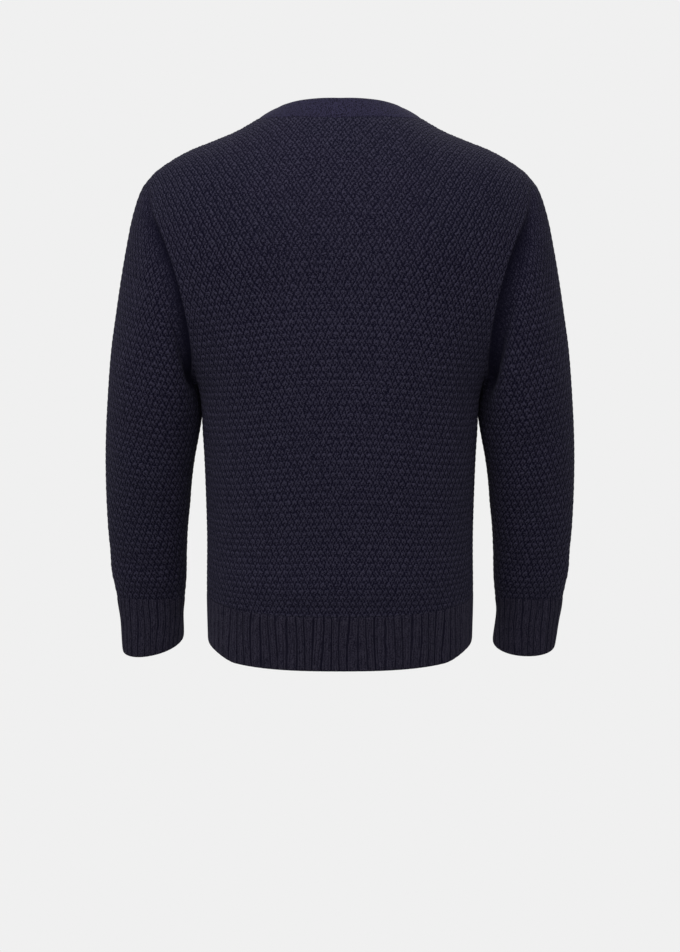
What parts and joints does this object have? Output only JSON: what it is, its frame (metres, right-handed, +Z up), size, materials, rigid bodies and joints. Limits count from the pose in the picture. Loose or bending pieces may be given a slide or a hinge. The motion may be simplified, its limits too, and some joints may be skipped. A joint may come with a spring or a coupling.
{
  "type": "cardigan",
  "caption": "Filled-out V-neck cardigan in chunky textured knit with dropped shoulders, long sleeves, ribbed hem and cuffs and a smooth buttoned front band, hollow and open at every end.",
  "frame": {"origin": "middle of the neck opening at the height of the shoulder line, where the wearer's shoulders carry the garment", "axes": "+Z up along the body length, front with the buttons faces -Y, the wearer's left sleeve is on +X"},
  "size_m": [0.6188, 0.2587, 0.7489],
  "materials": {
    "knit": "matte chunky tuck-stitch knit",
    "rib": "matte 2x1 rib knit",
    "fine_knit": "matte smooth fine knit",
    "button": "satin"
  },
  "bodies": {
    "root": {"back": "knit", "front_left": "knit", "front_right": "knit", "sleeve_left": "knit", "sleeve_right": "knit", "hem_rib": "rib", "cuff_left": "rib", "cuff_right": "rib", "front_band": "fine_knit", "button_1": "button", "button_2": "button", "button_3": "button", "button_4": "button", "button_5": "button"}
  },
  "joints": []
}
